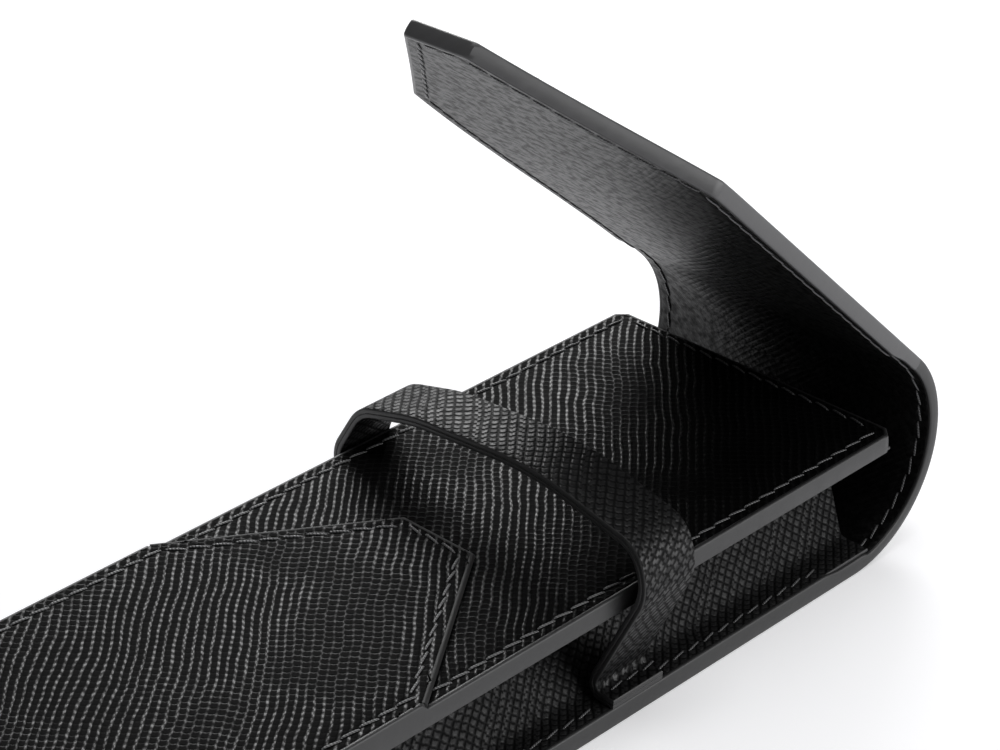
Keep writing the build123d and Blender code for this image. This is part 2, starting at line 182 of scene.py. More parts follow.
def slice_tongue_seam(bm, tongue, tip_at, pointing):
    """The same along the slants and the tip of a tongue."""
    slant = slant_of(tongue)
    for offset in (SEAM - GROOVE_HALF, SEAM, SEAM + GROOVE_HALF):
        slice_flat(bm, (0, tip_at - pointing * (offset + TIP_SEAM - SEAM), 0), (0, 1, 0))
        for side in (1, -1):
            facing = Vector((side * slant.x, pointing * slant.y, 0))
            slice_flat(bm, Vector((side * tongue[1], tip_at, 0)) - facing * offset, facing)


def cut_panel(outline):
    """A flat piece of leather with that outline."""
    bm = bmesh.new()
    bm.faces.new([bm.verts.new((x, y, 0)) for x, y in outline])
    return bm


def thicken(bm, low, high, rounded, joined=()):
    """Gives a flat piece its thickness and rounds its cut edges at the given faces and radii.
    joined lists the distances along the strip where the piece runs on into the next one."""
    for vert in bm.verts:
        vert.co.z = low
    top = bmesh.ops.extrude_face_region(bm, geom=bm.faces[:])
    for part in top["geom"]:
        if isinstance(part, bmesh.types.BMVert):
            part.co.z = high
    bmesh.ops.recalc_face_normals(bm, faces=bm.faces[:])
    for height, radius in rounded:
        border = []
        for edge in bm.edges:
            ends = [vert.co for vert in edge.verts]
            level = all(abs(end.z - height) < 1e-6 for end in ends)
            sharp = len(edge.link_faces) == 2 and edge.calc_face_angle(0) > 1
            seam = any(all(abs(end.y - where) < 1e-6 for end in ends) for where in joined)
            if level and sharp and not seam:
                border.append(edge)
        bmesh.ops.bevel(bm, geom=border, offset=radius, offset_type="OFFSET", affect="EDGES",
                        segments=3, profile=0.5, material=-1)


def finish_mesh(bm, name, materials):
    """Turns finished work into an object."""
    bmesh.ops.recalc_face_normals(bm, faces=bm.faces[:])
    for face in bm.faces:
        face.smooth = True
    for edge in bm.edges:
        edge.smooth = edge.calc_face_angle(0) < math.radians(55)
    mesh = bpy.data.meshes.new(name)
    bm.to_mesh(mesh)
    bm.free()
    for material in materials:
        mesh.materials.append(material)
    piece = bpy.data.objects.new(name, mesh)
    bpy.context.scene.collection.objects.link(piece)
    return piece


def finish_leather(bm, name, place, materials):
    """Marks grain and painted edge, keeps the flat piece as its UV map in metres, and bends it."""
    grain_map = bm.loops.layers.uv.new("grain")
    bmesh.ops.recalc_face_normals(bm, faces=bm.faces[:])
    for face in bm.faces:
        face.material_index = 0 if abs(face.normal.z) > 0.93 else 1
        for loop in face.loops:
            loop[grain_map].uv = loop.vert.co.xy
    for vert in bm.verts:
        vert.co = place(vert.co)
    return finish_mesh(bm, name, materials)


class Wire:
    """A value in a material. Arithmetic on it adds the Math nodes."""

    def __init__(self, finish, socket):
        self.finish = finish
        self.socket = socket

    def math(self, operation, *others):
        return self.finish.node("ShaderNodeMath", {"operation": operation}, (self, *others))

    def __add__(self, other):
        return self.math("ADD", other)

    def __mul__(self, other):
        return self.math("MULTIPLY", other)

    def __sub__(self, other):
        return self.math("SUBTRACT", other)

    def __rsub__(self, other):
        return self.finish.node("ShaderNodeMath", {"operation": "SUBTRACT"}, (other, self))

    __radd__ = __add__
    __rmul__ = __mul__

    def between(self, low, high, start=0.0, end=1.0):
        """A smooth step of this value, from start at low to end at high."""
        return self.finish.node("ShaderNodeMapRange", {"interpolation_type": "SMOOTHSTEP"},
                                (self, low, high, start, end))


class Finish:
    """A material made of nodes. The even values of its shader are set directly."""

    def __init__(self, name, **even):
        self.material = bpy.data.materials.new(name)
        self.material.use_nodes = True
        self.tree = self.material.node_tree
        self.shader = self.tree.nodes["Principled BSDF"]
        for socket, value in even.items():
            self.shader.inputs[socket.replace("_", " ")].default_value = value

    def node(self, kind, settings, values, output=0):
        """One node: its settings first, then its inputs, by place or, from a dict, by name."""
        node = self.tree.nodes.new(kind)
        for setting, value in settings.items():
            setattr(node, setting, value)
        pairs = values.items() if isinstance(values, dict) else enumerate(values)
        for place, value in pairs:
            if isinstance(value, Wire):
                self.tree.links.new(value.socket, node.inputs[place])
            else:
                node.inputs[place].default_value = value
        return Wire(self, node.outputs[output])

    def feed(self, **wires):
        for socket, wire in wires.items():
            self.tree.links.new(wire.socket, self.shader.inputs[socket.replace("_", " ")])

    def blend_in(self, other, share):
        """A second shader over the first, by share."""
        first = Wire(self, self.shader.outputs[0])
        both = self.node("ShaderNodeMixShader", {}, (share, first, other))
        self.tree.links.new(both.socket, self.tree.nodes["Material Output"].inputs["Surface"])

    def mix(self, share, one, other):
        """A grey between two greys."""
        greys = [(grey, grey, grey * 1.03, 1) for grey in (one, other)]
        return self.node("ShaderNodeMix", {"data_type": "RGBA"}, {0: share, 6: greys[0], 7: greys[1]}, 2)

    def noise(self, where, scale, detail=2.0):
        return self.node("ShaderNodeTexNoise", {}, {"Vector": where, "Scale": scale, "Detail": detail})

    def bump(self, height, millimetres):
        return self.node("ShaderNodeBump", {}, {"Distance": millimetres * MM, "Height": height})

    def flat_place(self):
        """The piece's own flat map in millimetres: as a vector, across and along."""
        uv = self.node("ShaderNodeUVMap", {"uv_map": "grain"}, ())
        where = self.node("ShaderNodeVectorMath", {"operation": "SCALE"}, {0: uv, "Scale": 1000.0})
        across = self.node("ShaderNodeSeparateXYZ", {}, (where,))
        return where, across, Wire(self, across.socket.node.outputs[1])


def cross_grain(name, lean, pitch=1.16, bars=(0.4, 0.75), long=(0.6, 0.95), relief=0.085, black=0.002,
                wave=1.0, polish=0.3, sheen=0.0, pads=False):
    """Black leather pressed with two families of fine ridges. One runs on in long wavering lines,
    at lean degrees to the width. The other crosses it in short bars, each row set off from the
    next. The ridges are polished and the cells between them stay dull. With pads, the crossings
    stand up instead, as on the thin leather of the gussets and the strap."""
    finish = Finish(name, Specular_IOR_Level=0.02)
    where, across, along = finish.flat_place()
    cos, sin = math.cos(math.radians(lean)), math.sin(math.radians(lean))
    # A slow drift and a short ripple bend the rows; each row then starts its bars elsewhere.
    drift = finish.noise(where, 0.03, 1.0) - 0.5
    ripple = finish.noise(where, 0.13, 2.0) - 0.5
    over = along * (cos / pitch) - across * (sin / pitch) + drift * (3.0 * wave) + ripple * (0.9 * wave)
    row = (over + 0.5).math("FLOOR")
    shift = finish.node("ShaderNodeTexWhiteNoise", {"noise_dimensions": "1D"}, {"W": row})
    crest = over.math("PINGPONG", 0.5)
    onward = along * (sin / pitch) + across * (cos / pitch) + shift * 0.6 + drift * 1.5 + crest * 0.22
    long_crest = crest * 2.0
    bar_crest = onward.math("PINGPONG", 0.5) * 2.0
    if pads:
        ridges = long_crest.between(-0.1, 0.6) * bar_crest.between(-0.1, 0.6)
    else:
        # Some patches of the hide show the long ridges more, others the bars.
        patch = finish.noise(where, 0.05, 1.0)
        long_ridge = long_crest.between(0.26, 0.95) * (bar_crest * 0.45 + 0.55)
        bar_ridge = bar_crest.between(0.5, 1.0) * 0.75
        long_part = long_ridge * patch.between(0.38, 0.52, long[0], long[1])
        bar_part = bar_ridge * patch.between(0.44, 0.60, bars[1], bars[0])
        ridges = long_part.math("MAXIMUM", bar_part)
    # The press leaves pores, and handling polishes the ridges unevenly.
    pores = finish.noise(where, 6.0, 1.0)
    worn = finish.noise(where, 0.8, 2.0)
    height = ridges + pores * 0.08
    # The ridges are coloured lighter than the cells between them, following the relief: painted highlight on
    # the ridges.
    skin = finish.mix(ridges, black, black * 2.5)
    normal = finish.bump(height, relief)
    finish.feed(Normal=normal, Roughness=0.65 - worn * 0.1, Base_Color=skin)
    polished = {"Base Color": skin, "Normal": normal, "Roughness": worn * 0.16 + (polish - 0.08),
                "Specular IOR Level": 0.5}
    rubbed = finish.node("ShaderNodeBsdfPrincipled", {}, polished)
    share = ridges.between(0.25, 0.95, sheen, 0.9) * worn.between(0.32, 0.66, 0.35, 1.0)
    finish.blend_in(rubbed, share)
    return finish.material


def edge_paint(name, grey, rough):
    """Several coats of edge paint, sanded between coats: smooth, a little wavy, half gloss."""
    finish = Finish(name, Specular_IOR_Level=0.5)
    where, across, along = finish.flat_place()
    swell = finish.noise(where, 0.5)
    skin = finish.noise(where, 4.0)
    finish.feed(Normal=finish.bump(swell + skin * 0.12, 0.04), Roughness=swell * 0.2 + (rough - 0.1),
                Base_Color=finish.mix(swell, grey * 0.85, grey * 1.15))
    return finish.material


outer_leather = cross_grain("outer_leather", 48.7)
painted_edge = edge_paint("painted_edge", 0.017, 0.45)
# The flap's edge paint is a lighter grey than the other edges': painted highlight, where the flap's edge
# stands higher and catches more light.
flap_edge_painted_highlight = edge_paint("flap_painted_edge_with_painted_highlight", 0.06, 0.4)
# The tongue's edge paint is a darker grey than the other edges': painted shade on the tongue's thin edge.
tongue_edge_painted_shade = edge_paint("tongue_edge_painted_shade", 0.006, 0.6)


def strip_piece(name, low, high, depths, rounded, step, tip=None, shape=None, leather=None):
    """One length of a strip, outer face first in depths. tip is (tongue, where, pointing)."""
    side = HALF - CUT
    outline = [(-side, low), (side, low), (side, high), (-side, high)]
    joined = [low, high]
    if tip:
        tongue, tip_at, pointing = tip
        base = low if pointing > 0 else high
        joined = [base]
        (shoulder_x, shoulder_rise), (tip_x, tip_rise) = tongue_corners(tongue, CUT, CUT)
        shoulder = tip_at + pointing * (shoulder_rise - tongue[0])
        end = tip_at + pointing * (tip_rise - tongue[0])
        outline = [(side, base), (shoulder_x, shoulder), (tip_x, end),
                   (-tip_x, end), (-shoulder_x, shoulder), (-side, base)]
    bm = cut_panel(outline)
    slice_rows(bm, low, high, step, (0, 1, 0))
    slice_rows(bm, -HALF, HALF, 2.5 * MM, (1, 0, 0))
    slice_seams(bm)
    if tip:
        slice_tongue_seam(bm, tongue, tip_at, pointing)
    thicken(bm, depths[0], depths[1], rounded, joined)
    for vert in bm.verts:
        x, along, depth = vert.co
        distance = tongue_distance(tongue, x, (tip_at - along) * pointing) if tip else HALF - abs(x)
        if shape:
            vert.co.z += shape(distance, depth, along)
    return finish_leather(bm, name, place_on_strip, [leather or outer_leather, painted_edge])


def sunk_outside(distance, depth, along):
    """The seam's groove in a face that looks outwards."""
    return groove(distance) if depth < 1e-6 else 0


OUTER = (0, LEATHER)
OUTER_ROUND = [(0, 0.42 * MM)]
ARC_STEP = 0.5 * MM


def blend_round_end(piece):
    """Bakes the piece's placement into its mesh."""
    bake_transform(piece)


def spine_share(number):
    """The two ends, along the strip, of one of the spine's three bends."""
    return [SPINE_LENGTH * share / CREASES for share in (number, number + 1)]


def blend_spine(piece, number):
    """Bakes the piece of one bend of the spine into its mesh, where it stands."""
    low, high = spine_share(number)
    place_on_strip((0, low, 0))
    place_on_strip((0, high, 0))
    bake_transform(piece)


overlay = strip_piece("overlay_leather", AT_TONGUE_TIP, AT_SPLIT, OUTER, OUTER_ROUND, 0.9 * MM,
                      tip=(TONGUE_ON_FRONT, AT_TONGUE_TIP, -1), shape=sunk_outside)
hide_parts("front_overlay")
blend_round_end(overlay)
back = strip_piece("back_leather", AT_SPLIT, 0, OUTER, OUTER_ROUND, 1.0 * MM, shape=sunk_outside)
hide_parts("outer_back")
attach(back, "case")
flap = strip_piece("flap_leather", SPINE_LENGTH, FLAP_END, OUTER, OUTER_ROUND, 2.5 * MM,
                   tip=(TONGUE_OF_FLAP, FLAP_END, 1), shape=sunk_outside)
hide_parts("flap_outer")
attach(flap, "flap")
for number in range(CREASES):
    low, high = spine_share(number)
    piece = strip_piece(f"spine_leather_{number + 1}", low, high, OUTER, OUTER_ROUND, ARC_STEP,
                        shape=sunk_outside)
    blend_spine(piece, number)
    if number < 2:
        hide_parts(("spine_outer_lower", "spine_outer_upper")[number])

# ---------------------------------------------------------------- inner facing
# The same leather glued to the inside of back, spine and flap. Boards under it stiffen the back
# and the flap, so it steps down to the outer strip on both sides of the spine.
facing_leather = cross_grain("facing_leather", 45.0, pitch=0.9, bars=(0.5, 0.7), long=(0.5, 0.7),
                             relief=0.05, polish=0.36, sheen=0.85)
FACING = (LEATHER, 2 * LEATHER)
FACING_ROUND = [(FACING[1], 0.42 * MM)]


def board_lift(along):
    """How far the boards hold the facing off the outer strip."""
    back_part = 1 - smooth(along, -7 * MM, -3 * MM)
    flap_part = smooth(along, SPINE_LENGTH + 3 * MM, SPINE_LENGTH + 7 * MM)
    return BOARD * max(back_part, flap_part)


def facing_shape(distance, depth, along):
    """The facing rides over the boards, and its seam is pulled into its open face."""
    seam = groove(distance) if depth > LEATHER * 1.5 else 0
    return board_lift(along) - seam


def plain_skin(name, grey, rough, scale):
    """Leather board or thin unpressed lining leather: fibrous and dull."""
    finish = Finish(name, Specular_IOR_Level=0.3)
    here = finish.node("ShaderNodeTexCoord", {}, (), 3)
    fibre = finish.noise(here, scale, 4.0)
    finish.feed(Normal=finish.bump(fibre, 0.03), Roughness=fibre * 0.25 + (rough - 0.12),
                Base_Color=finish.mix(fibre, grey * 0.75, grey * 1.25))
    return finish.material


board_fibre = plain_skin("board_fibre", 0.02, 0.7, 1800)
BOARD_AT = (LEATHER, LEATHER + BOARD)
piece = strip_piece("flap_board_fibre", SPINE_LENGTH + 7.2 * MM, FLAP_END, BOARD_AT, [], 2.5 * MM,
                    tip=(TONGUE_OF_FLAP, FLAP_END, 1), leather=board_fibre)
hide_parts("flap_board")
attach(piece, "flap")
piece = strip_piece("back_facing_leather", AT_LOW_CORNER, 0, FACING, FACING_ROUND, 1.0 * MM,
                    shape=facing_shape, leather=facing_leather)
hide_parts("back_facing")
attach(piece, "case")
piece = strip_piece("flap_facing_leather", SPINE_LENGTH, FLAP_END, FACING, FACING_ROUND, 1.0 * MM,
                    tip=(TONGUE_OF_FLAP, FLAP_END, 1), shape=facing_shape, leather=facing_leather)
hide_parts("flap_facing")
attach(piece, "flap")
for number in range(CREASES):
    low, high = spine_share(number)
    piece = strip_piece(f"spine_facing_{number + 1}_leather", low, high, FACING, FACING_ROUND, ARC_STEP,
                        shape=facing_shape, leather=facing_leather)
    blend_spine(piece, number)
    if number < 2:
        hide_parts(("spine_facing_lower", "spine_facing_upper")[number])

# ---------------------------------------------------------------- front panel
# Leather on board, lined inside. The mouth edge is straight with clipped corners, and one seam
# runs along it and down both sides, through the flanges of the gussets.
panel_low, panel_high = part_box("front_panel")
MOUTH = panel_high.y
MOUTH_CLIP = 1.5 * MM
MOUTH_SEAM = 1.6 * MM


def mouth_outline(side, low, mouth):
    """The front's outline: square at the bottom, its two mouth corners clipped."""
    return [(-side, low), (side, low), (side, mouth - MOUTH_CLIP), (side - MOUTH_CLIP, mouth),
            (MOUTH_CLIP - side, mouth), (-side, mouth - MOUTH_CLIP)]


bm = cut_panel(mouth_outline(HALF - CUT, panel_low.y, MOUTH - CUT))
slice_rows(bm, panel_low.y, MOUTH, 2.5 * MM, (0, 1, 0))
slice_rows(bm, -HALF, HALF, 2.5 * MM, (1, 0, 0))
slice_seams(bm)
for offset in (-GROOVE_HALF, 0, GROOVE_HALF):
    slice_flat(bm, (0, MOUTH - MOUTH_SEAM + offset, 0), (0, 1, 0))
thicken(bm, panel_low.z, panel_high.z, [(panel_high.z, 0.42 * MM)])
for vert in bm.verts:
    if vert.co.z > panel_high.z - 1e-6:
        sides = groove(HALF - abs(vert.co.x))
        across_mouth = groove(MOUTH - vert.co.y, MOUTH_SEAM) * smooth(HALF - abs(vert.co.x), SEAM, SEAM + MM)
        vert.co.z -= max(sides, across_mouth)
front_leather = cross_grain("front_leather", 131.3)
panel = finish_leather(bm, "front_panel_leather", lambda flat: flat, [front_leather, painted_edge])
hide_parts("front_panel")
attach(panel, "front")

# ---------------------------------------------------------------- gussets
# A strip of thin embossed leather down each side. Its foot is sewn to the back, its flange under
# the front, and it is pushed inwards in a fold that dies away towards the bottom end.
GUSSET = 0.6 * MM
FOOT_TOP = 2 * LEATHER + BOARD + GUSSET
FLANGE_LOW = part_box("gusset_right")[1].z - GUSSET
GUSSET_HALF = HALF - 0.4 * MM
FOLD_FADES_FROM = 52 * MM
FOLD_FADES_TO = 78 * MM
# The section's corners in millimetres from the middle of the case, and their radii. Each pair is
# for the mouth and for where the fold has died away.
TURN_UP = (20.2, 22.3)
FOLD_DEPTH = (13.3, 21.7)
TURN_RADIUS = (2.5, 1.0)
FOLD_RADIUS = 0.7


class BentLine:
    """A line of straights and rounded corners, given as (x, z, corner radius) in millimetres."""

    def __init__(self, corners, straight=6, round=10):
        points = [Vector((x, z)) for x, z, radius in corners]
        line = [points[0]]
        for before, here, after, corner in zip(points, points[1:], points[2:], corners[1:]):
            inward, outward = (before - here).normalized(), (after - here).normalized()
            half = inward.angle(outward) / 2
            reach = corner[2] / math.tan(half)
            centre = here + (inward + outward).normalized() * corner[2] / math.sin(half)
            start, end = here + inward * reach - centre, here + outward * reach - centre
            line += [line[-1].lerp(centre + start, step / straight) for step in range(1, straight)]
            line += [centre + start.slerp(end, step / round) * corner[2] for step in range(round + 1)]
        line += [line[-1].lerp(points[-1], step / straight) for step in range(1, straight + 1)]
        self.line = [point * MM for point in line]
        self.marks = [0.0]
        for one, other in zip(self.line, self.line[1:]):
            self.marks.append(self.marks[-1] + (other - one).length)
        self.length = self.marks[-1]

    def at(self, distance, depth):
        """The point at a distance along the line and a depth to its left."""
        number = 1
        while number < len(self.marks) - 1 and self.marks[number] < distance:
            number += 1
        one, other = self.line[number - 1], self.line[number]
        share = (distance - self.marks[number - 1]) / (self.marks[number] - self.marks[number - 1])
        before = self.line[max(number - 2, 0)]
        after = self.line[min(number + 1, len(self.line) - 1)]
        heading = (other - before).normalized().lerp((after - one).normalized(), share).normalized()
        return one.lerp(other, share) + Vector((-heading.y, heading.x)) * depth


def gusset_line(y):
    """The gusset's visible face in section, at one place along the case."""
    fade = smooth(-y, FOLD_FADES_FROM, FOLD_FADES_TO)
    turn, fold, radius = (start + (end - start) * fade for start, end in (TURN_UP, FOLD_DEPTH, TURN_RADIUS))
    edge, foot, flange = GUSSET_HALF / MM, FOOT_TOP / MM, FLANGE_LOW / MM
    return BentLine([(edge, foot, 0), (turn, foot, radius), (fold, (foot + flange) / 2, FOLD_RADIUS),
                     (turn, flange, radius), (edge, flange, 0)])


gusset_lines = {}
full_width = gusset_line(0).length
# The foot stops short of the mouth, and the gusset slants forward from it to the fold.
FOOT_SHORT = 3.5 * MM
FOOT_SLANT = (4.7 * MM, 11.9 * MM)
GUSSET_ROUND = [(0, 0.2 * MM), (GUSSET, 0.2 * MM)]


def place_gusset(side):
    """Folds the right gusset with side 1, the left one with side -1."""
    def place(flat):
        y = round(flat.y, 6)
        if y not in gusset_lines:
            gusset_lines[y] = gusset_line(y)
        line = gusset_lines[y]
        point = line.at(flat.x * line.length / full_width, flat.z)
        return Vector((side * point.x, flat.y, point.y))
    return place


gusset_leather = cross_grain("gusset_leather", 48.7, pitch=1.1, relief=0.12, polish=0.5, sheen=0.3,
                            black=0.006, pads=True)
for side, name in ((1, "gusset_right"), (-1, "gusset_left")):
    low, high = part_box(name)
    bm = cut_panel([(0, low.y), (full_width, low.y), (full_width, high.y), (FOOT_SLANT[1], high.y),
                    (FOOT_SLANT[0], high.y - FOOT_SHORT), (0, high.y - FOOT_SHORT)])
    slice_rows(bm, 0, full_width, 0.6 * MM, (1, 0, 0))
    slice_rows(bm, low.y, high.y, 3.0 * MM, (0, 1, 0))
    thicken(bm, 0, GUSSET, GUSSET_ROUND)
    piece = finish_leather(bm, name + "_leather", place_gusset(side), [gusset_leather, painted_edge])
    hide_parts(name)
    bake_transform(piece)

# ---------------------------------------------------------------- strap
# Two leathers glued back to back. Each end lies on a gusset's foot, sewn through the back, and
# the loop stands up from there over the front, leaning a little towards the mouth.
STRAP_Y = 28.35 * MM
STRAP_LEAN = math.tan(math.radians(5))
STRAP_HALF = 4.7 * MM
STRAP_LEAF = 0.7 * MM
TAB_TOP = FOOT_TOP + 2 * STRAP_LEAF
edge, tab = HALF / MM, TAB_TOP / MM
right_foot = [(edge, tab, 0), (21.3, tab, 1.0)]
right_shoulder = [(29.2, 21.0, 7.0), (26.6, 27.1, 5.5)]
crown = [(8.0, 31.0, 50.0), (-13.0, 29.6, 30.0)]
left_shoulder = [(-23.4, 27.0, 6.0), (-28.2, 18.6, 5.0)]
left_foot = [(-20.7, tab, 1.0), (-edge, tab, 0)]
strap_line = BentLine(right_foot + right_shoulder + crown + left_shoulder + left_foot, straight=8, round=16)
OUTSIDE_ROUND = 0.24 * MM
GLUED_ROUND = 0.1 * MM


def place_strap(flat):
    """Stands the flat strap up along its loop and leans it towards the mouth."""
    point = strap_line.at(flat.y, flat.z)
    return Vector((point.x, STRAP_Y + (point.y - TAB_TOP) * STRAP_LEAN + flat.x, point.y))


strap_leather = cross_grain("strap_leather", 41.3, pitch=1.2, relief=0.1, wave=0.6, polish=0.4, sheen=0.2,
                            black=0.005, pads=True)
for name, low, rounds in (("strap_outer", 0, (OUTSIDE_ROUND, GLUED_ROUND)),
                          ("strap_lining", STRAP_LEAF, (GLUED_ROUND, OUTSIDE_ROUND))):
    high = low + STRAP_LEAF
    bm = cut_panel([(-STRAP_HALF, 0), (STRAP_HALF, 0),
                    (STRAP_HALF, strap_line.length), (-STRAP_HALF, strap_line.length)])
    slice_rows(bm, 0, strap_line.length, 0.7 * MM, (0, 1, 0))
    slice_rows(bm, -STRAP_HALF, STRAP_HALF, 2.4 * MM, (1, 0, 0))
    thicken(bm, low, high, list(zip((low, high), rounds)))
    piece = finish_leather(bm, name + "_leather", place_strap, [strap_leather, painted_edge])
    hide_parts(name)
    if name == "strap_outer":
        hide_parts("strap_end_right", "strap_end_left")
    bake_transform(piece)

# ---------------------------------------------------------------- painted edges
# The stacked leathers are trimmed together, rounded and painted as one: a smooth band with a
# soft shoulder at each face. It is as thick as the stack is at that place.
SPINE_STACK = 2 * LEATHER


def stack_at(x, along):
    """The two depths between which the edge is painted, at one place on the outer strip."""
    if along < AT_TOP:
        on_overlay = along > AT_SHOULDER
        low = 0 if on_overlay else LEATHER
        flange = smooth(HALF - abs(x), 3.5 * MM, 5 * MM)
        return low, OVERLAY_TOP - (FLANGE_LOW + GUSSET * flange)
    if along < AT_LOW_CORNER:
        front_stack = (OVERLAY_TOP - FLANGE_LOW) * (1 - smooth(along, AT_TOP, AT_TOP + 4 * MM))
        back_stack = FOOT_TOP * smooth(along, AT_LOW_CORNER - 4 * MM, AT_LOW_CORNER)
        return 0, max(LEATHER, front_stack, back_stack)
    if along < 0:
        return 0, SPINE_STACK + board_lift(along) + GUSSET
    foot = GUSSET * (1 - smooth(along, 2 * MM, 3.5 * MM))
    return 0, SPINE_STACK + board_lift(along) + foot


def finely(path, step):
    """The same path with points no further apart than a step."""
    fine = []
    for one, other in zip(path, path[1:]):
        count = max(1, math.ceil((Vector(other) - Vector(one)).length / step))
        fine += [Vector(one).lerp(Vector(other), part / count) for part in range(count)]
    return fine + [Vector(path[-1])]


PAINT_BULGE = 0.06 * MM
PAINT_SHOULDER = 0.34 * MM
PAINT_RIM = 0.62 * MM
PAINT_LIP = 0.15 * MM
PAINT_SUNK = 0.18 * MM
PAINT_STEPS = 4


def paint_section(low, high):
    """The band in section, from face to face, as (distance in from the edge, depth)."""
    round_at = min(PAINT_SHOULDER, (high - low) / 2)
    half = [(PAINT_RIM + PAINT_LIP, PAINT_SUNK), (PAINT_RIM, 0.0)]
    for step in range(PAINT_STEPS + 1):
        turn = math.pi / 2 * step / PAINT_STEPS
        half.append((PAINT_BULGE + round_at * (1 - math.sin(turn)), round_at * (1 - math.cos(turn))))
    half.append((PAINT_BULGE / 4, (round_at + (high - low) / 2) / 2))
    section = [(inset, low + depth) for inset, depth in half]
    section.append((0, (low + high) / 2))
    return section + [(inset, high - depth) for inset, depth in reversed(half)]


def paint_runs(name, runs, stack, paint=painted_edge):
    """A painted band along each run of flat points. The leather lies to the left of each run."""
    bm = bmesh.new()
    flat_map = bm.loops.layers.uv.new("grain")
    for run in runs:
        path = finely(run, 0.8 * MM)
        rings = []
        for number, here in enumerate(path):
            before = here - path[max(number - 1, 0)]
            after = path[min(number + 1, len(path) - 1)] - here
            before = before.normalized() if before.length else after.normalized()
            after = after.normalized() if after.length else before
            out = Vector((before.y + after.y, -before.x - after.x)).normalized()
            out /= max(out.dot(Vector((before.y, -before.x))), 0.5)
            section = paint_section(*stack(here.x, here.y))
            rings.append([(here - out * inset, depth) for inset, depth in section])
        grid = [[bm.verts.new((point.x, point.y, depth)) for point, depth in ring] for ring in rings]
        count = len(grid[0])
        for ring, following in zip(grid, grid[1:]):
            for place in range(count):
                after = (place + 1) % count
                bm.faces.new((ring[place], following[place], following[after], ring[after]))
        bm.faces.new(grid[0])
        bm.faces.new(reversed(grid[-1]))
    for face in bm.faces:
        for loop in face.loops:
            loop[flat_map].uv = (loop.vert.co.x + loop.vert.co.z, loop.vert.co.y)
    for vert in bm.verts:
        vert.co = place_on_strip(vert.co)
    return finish_mesh(bm, name, [paint])


AT_MOUTH = AT_TOP - (MOUTH - BOTTOM - TOP_CORNER)
front_run = [(-HALF, AT_SPLIT), (-HALF, AT_MOUTH + MOUTH_CLIP), (-HALF + MOUTH_CLIP, AT_MOUTH),
             (HALF - MOUTH_CLIP, AT_MOUTH), (HALF, AT_MOUTH + MOUTH_CLIP), (HALF, AT_SPLIT)]
piece = paint_runs("front_painted_edge", [front_run], stack_at)
blend_round_end(piece)


def both_sides(low, high):
    """The strip's two side edges between two distances along it."""
    return [[(HALF, low), (HALF, high)], [(-HALF, high), (-HALF, low)]]


piece = paint_runs("back_painted_edges", both_sides(AT_SPLIT, 0), stack_at)
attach(piece, "case")
for number in range(CREASES):
    piece = paint_runs(f"spine_painted_edges_{number + 1}", both_sides(*spine_share(number)), stack_at)
    blend_spine(piece, number)


def tongue_run(tongue, tip_at, pointing, base):
    """The edge of a tongue, from its base on one side round its tip to the other."""
    shoulder = tip_at - pointing * tongue[0]
    run = [(HALF, base), (HALF, shoulder), (tongue[1], tip_at),
           (-tongue[1], tip_at), (-HALF, shoulder), (-HALF, base)]
    return run if pointing > 0 else run[::-1]


# The flap's painted edge takes the lighter paint: painted highlight.
piece = paint_runs("flap_painted_edge_with_painted_highlight", [tongue_run(TONGUE_OF_FLAP, FLAP_END, 1, SPINE_LENGTH)],
                   stack_at, flap_edge_painted_highlight)
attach(piece, "flap")
# The tongue's painted edge takes the darker paint: painted shade.
piece = paint_runs("tongue_painted_edge", [tongue_run(TONGUE_ON_FRONT, AT_TONGUE_TIP, -1, AT_SHOULDER)[1:-1]],
                   lambda x, along: (0, LEATHER), tongue_edge_painted_shade)
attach(piece, "front")

# ---------------------------------------------------------------- stitching
# Waxed black thread, three millimetres to the stitch. Each stitch slants a little, as a saddle
# stitch does, and dips into its hole at both ends.
PITCH = 3.0 * MM
STITCH = 2.85 * MM
THREAD = 0.17 * MM
AROUND = 8
STATIONS = ((-0.5, 0.4, -0.9), (-0.45, 0.75, -0.35), (-0.3, 0.95, 0.02), (0, 1.0, 0.12), (0.3, 0.95, 0.02),
            (0.45, 0.75, -0.35), (0.5, 0.4, -0.9))


def thread_finish():
    """Twisted waxed thread: slanting plies, half gloss, dark grey beside the leather, with painted shade in
    the grooves between the plies.
    """
    finish = Finish("waxed_thread", Specular_IOR_Level=0.8)
    where, across, along = finish.flat_place()
    plies = ((along * 2.2 + across).math("PINGPONG", 0.5) * 2.0).between(0, 0.8)
    fibre = finish.noise(where, 3.0)
    # The colour is darker in the grooves between plies and lighter on their crests: painted shade and painted
    # highlight.
    finish.feed(Normal=finish.bump(plies + fibre * 0.2, 0.05), Roughness=0.42 - plies * 0.12,
                Base_Color=finish.mix(plies, 0.035, 0.12))
    return finish.material


thread = thread_finish()


